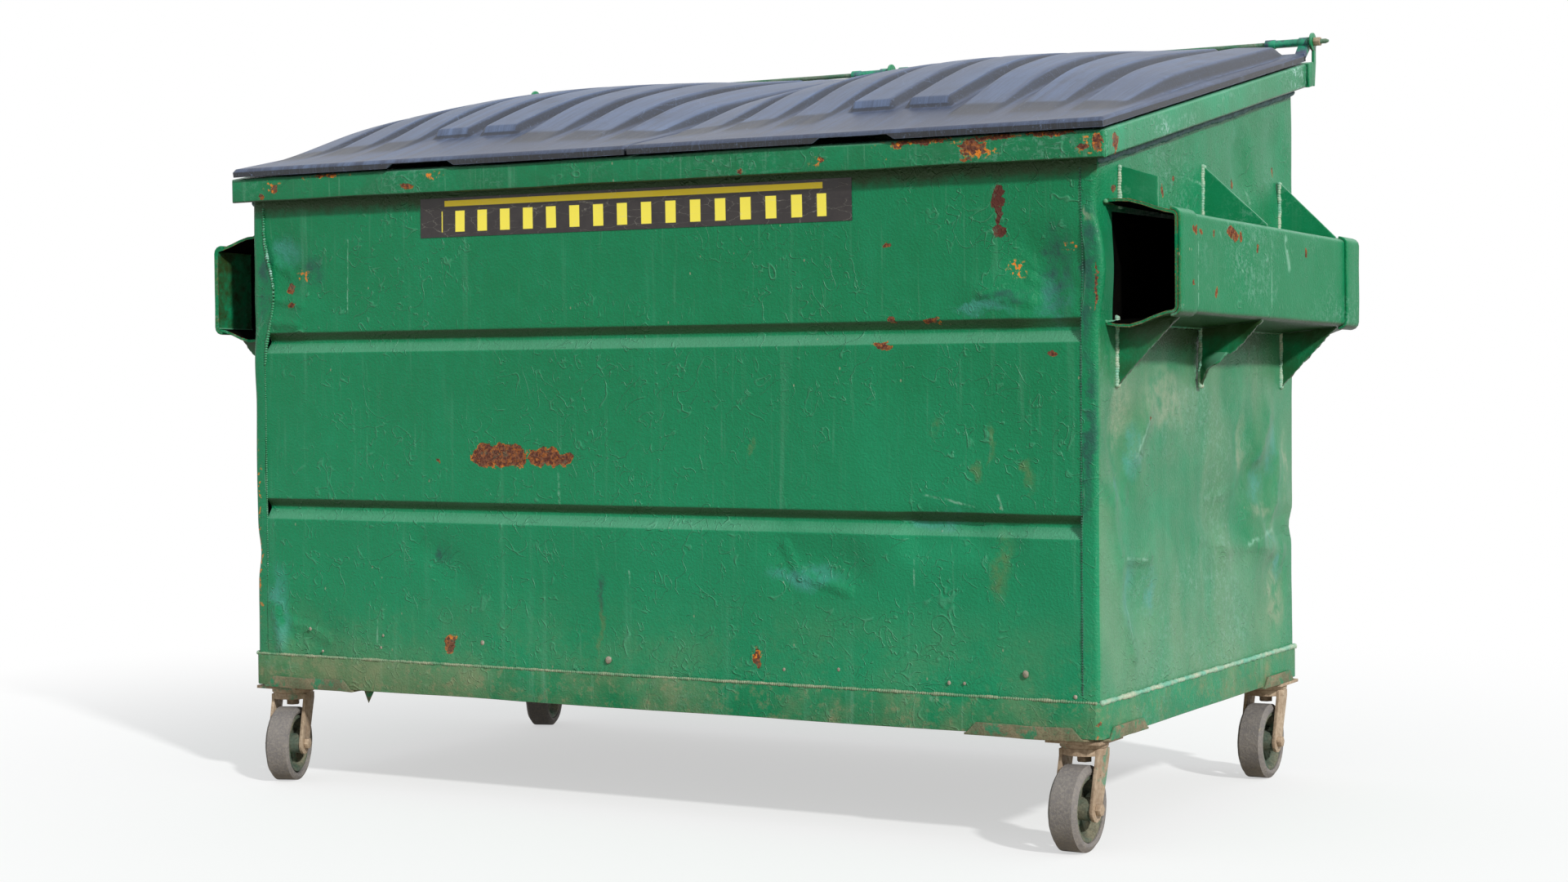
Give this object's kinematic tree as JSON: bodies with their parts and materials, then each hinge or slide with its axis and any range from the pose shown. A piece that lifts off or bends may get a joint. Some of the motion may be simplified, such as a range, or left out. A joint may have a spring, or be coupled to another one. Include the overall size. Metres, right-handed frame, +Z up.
{
  "type": "wheeled front-load waste container",
  "caption": "Slant-top painted steel refuse container with ribbed plastic lids on a rear rod, side fork pockets and swivel casters.",
  "frame": {"origin": "centre of the overall box, on the surface the wheels stand on", "axes": "+Z up, the low front with the lid edges faces -Y, +X to the right seen from the front"},
  "size_m": [2.0956, 1.1048, 1.4856],
  "materials": {
    "green_paint": "weathered satin paint with rust at edges",
    "lid_plastic": "chalky moulded plastic",
    "worn_steel": "dull, rusted and dusty",
    "cast_core": "rough cast, partly painted over",
    "tyre": "dusty hard rubber"
  },
  "bodies": {
    "bin": {"floor_pan": "green_paint", "front_wall": "green_paint", "rear_wall": "green_paint", "left_side_wall": "green_paint", "right_side_wall": "green_paint", "front_rim": "green_paint", "rear_rim": "green_paint", "left_rim": "green_paint", "right_rim": "green_paint", "left_fork_pocket": "green_paint", "left_pocket_band_front": "green_paint", "left_pocket_band_rear": "green_paint", "left_upper_gusset_front": "green_paint", "left_upper_gusset_middle": "green_paint", "left_upper_gusset_rear": "green_paint", "left_lower_gusset_front": "green_paint", "left_lower_gusset_middle": "green_paint", "left_lower_gusset_rear": "green_paint", "front_left_pad": "green_paint", "rear_left_pad": "green_paint", "left_hinge_lug": "green_paint", "left_rod_nut": "green_paint", "right_fork_pocket": "green_paint", "right_pocket_band_front": "green_paint", "right_pocket_band_rear": "green_paint", "right_upper_gusset_front": "green_paint", "right_upper_gusset_middle": "green_paint", "right_upper_gusset_rear": "green_paint", "right_lower_gusset_front": "green_paint", "right_lower_gusset_middle": "green_paint", "right_lower_gusset_rear": "green_paint", "front_right_pad": "green_paint", "rear_right_pad": "green_paint", "right_hinge_lug": "green_paint", "right_rod_nut": "green_paint", "centre_hinge_lug": "green_paint", "lid_rod": "worn_steel", "front_left_caster_plate": "worn_steel", "front_right_caster_plate": "worn_steel", "rear_left_caster_plate": "worn_steel", "rear_right_caster_plate": "worn_steel"},
    "left_lid": {"left_lid": "lid_plastic"},
    "right_lid": {"right_lid": "lid_plastic"},
    "front_left_swivel": {"front_left_fork": "worn_steel", "front_left_axle_bolt": "worn_steel"},
    "front_left_wheel": {"front_left_wheel_core": "cast_core", "front_left_tyre": "tyre"},
    "front_right_swivel": {"front_right_fork": "worn_steel", "front_right_axle_bolt": "worn_steel"},
    "front_right_wheel": {"front_right_wheel_core": "cast_core", "front_right_tyre": "tyre"},
    "rear_left_swivel": {"rear_left_fork": "worn_steel", "rear_left_axle_bolt": "worn_steel"},
    "rear_left_wheel": {"rear_left_wheel_core": "cast_core", "rear_left_tyre": "tyre"},
    "rear_right_swivel": {"rear_right_fork": "worn_steel", "rear_right_axle_bolt": "worn_steel"},
    "rear_right_wheel": {"rear_right_wheel_core": "cast_core", "rear_right_tyre": "tyre"}
  },
  "joints": [
    {"name": "left_lid_hinge", "type": "hinge", "parent": "bin", "child": "left_lid", "pos_m": [0, 0.53443, 1.46769], "axis": [-1, 0, 0], "range_deg": [0, 275]},
    {"name": "right_lid_hinge", "type": "hinge", "parent": "bin", "child": "right_lid", "pos_m": [0, 0.53443, 1.46769], "axis": [-1, 0, 0], "range_deg": [0, 275]},
    {"name": "front_left_swivel_turn", "type": "hinge", "parent": "bin", "child": "front_left_swivel", "pos_m": [-0.8725, -0.44857, 0.15], "axis": [0, 0, 1], "continuous": true},
    {"name": "front_left_wheel_spin", "type": "hinge", "parent": "front_left_swivel", "child": "front_left_wheel", "pos_m": [-0.86224, -0.47676, 0.0735], "axis": [0.9397, 0.342, 0], "continuous": true},
    {"name": "front_right_swivel_turn", "type": "hinge", "parent": "bin", "child": "front_right_swivel", "pos_m": [0.8625, -0.44857, 0.15], "axis": [0, 0, 1], "continuous": true},
    {"name": "front_right_wheel_spin", "type": "hinge", "parent": "front_right_swivel", "child": "front_right_wheel", "pos_m": [0.8625, -0.47857, 0.0735], "axis": [1, 0, 0], "continuous": true},
    {"name": "rear_left_swivel_turn", "type": "hinge", "parent": "bin", "child": "rear_left_swivel", "pos_m": [-0.8725, 0.45443, 0.15], "axis": [0, 0, 1], "continuous": true},
    {"name": "rear_left_wheel_spin", "type": "hinge", "parent": "rear_left_swivel", "child": "rear_left_wheel", "pos_m": [-0.86323, 0.4259, 0.0735], "axis": [0.9511, 0.309, 0], "continuous": true},
    {"name": "rear_right_swivel_turn", "type": "hinge", "parent": "bin", "child": "rear_right_swivel", "pos_m": [0.8725, 0.45443, 0.15], "axis": [0, 0, 1], "continuous": true},
    {"name": "rear_right_wheel_spin", "type": "hinge", "parent": "rear_right_swivel", "child": "rear_right_wheel", "pos_m": [0.8725, 0.42443, 0.0735], "axis": [1, 0, 0], "continuous": true}
  ]
}
